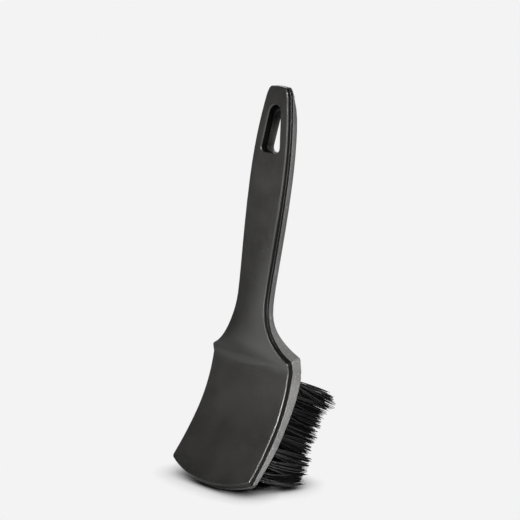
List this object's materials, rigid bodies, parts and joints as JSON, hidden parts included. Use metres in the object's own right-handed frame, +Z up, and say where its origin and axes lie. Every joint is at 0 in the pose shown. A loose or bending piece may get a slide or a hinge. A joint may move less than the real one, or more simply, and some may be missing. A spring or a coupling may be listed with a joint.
{
  "type": "wheel brush",
  "caption": "Short-handled wheel and tyre brush: curved head with a smooth covered back, flared neck, tapered grip with a hang slot, and a block of trimmed bristle tufts.",
  "frame": {"origin": "on the floor, under the middle of the brush as it stands on the end of its head and its lowest bristles", "axes": "+Z up, X across the brush, -Y the way the smooth back faces, +Y the way the bristles point"},
  "size_m": [0.0692, 0.072, 0.2306],
  "materials": {
    "cover_plastic": "satin moulded black",
    "handle_plastic": "fine-grained moulded black",
    "bristles": "black nylon filament",
    "wire_steel": "drawn stainless wire"
  },
  "bodies": {
    "root": {"back_cover": "cover_plastic", "handle_body": "handle_plastic", "draw_wire": "wire_steel", "tuft_r1_c1": "bristles", "tuft_r1_c2": "bristles", "tuft_r1_c3": "bristles", "tuft_r1_c4": "bristles", "tuft_r1_c5": "bristles", "tuft_r1_c6": "bristles", "tuft_r1_c7": "bristles", "tuft_r2_c1": "bristles", "tuft_r2_c2": "bristles", "tuft_r2_c3": "bristles", "tuft_r2_c4": "bristles", "tuft_r2_c5": "bristles", "tuft_r2_c6": "bristles", "tuft_r2_c7": "bristles", "tuft_r3_c1": "bristles", "tuft_r3_c2": "bristles", "tuft_r3_c3": "bristles", "tuft_r3_c4": "bristles", "tuft_r3_c5": "bristles", "tuft_r3_c6": "bristles", "tuft_r3_c7": "bristles", "tuft_r4_c1": "bristles", "tuft_r4_c2": "bristles", "tuft_r4_c3": "bristles", "tuft_r4_c4": "bristles", "tuft_r4_c5": "bristles", "tuft_r4_c6": "bristles", "tuft_r4_c7": "bristles", "tuft_r5_c1": "bristles", "tuft_r5_c2": "bristles", "tuft_r5_c3": "bristles", "tuft_r5_c4": "bristles", "tuft_r5_c5": "bristles", "tuft_r5_c6": "bristles", "tuft_r5_c7": "bristles", "tuft_r6_c1": "bristles", "tuft_r6_c2": "bristles", "tuft_r6_c3": "bristles", "tuft_r6_c4": "bristles", "tuft_r6_c5": "bristles", "tuft_r6_c6": "bristles", "tuft_r6_c7": "bristles", "tuft_r7_c1": "bristles", "tuft_r7_c2": "bristles", "tuft_r7_c3": "bristles", "tuft_r7_c4": "bristles", "tuft_r7_c5": "bristles", "tuft_r7_c6": "bristles", "tuft_r7_c7": "bristles", "tuft_r8_c1": "bristles", "tuft_r8_c2": "bristles", "tuft_r8_c3": "bristles", "tuft_r8_c4": "bristles", "tuft_r8_c5": "bristles", "tuft_r8_c6": "bristles", "tuft_r8_c7": "bristles"}
  },
  "joints": []
}
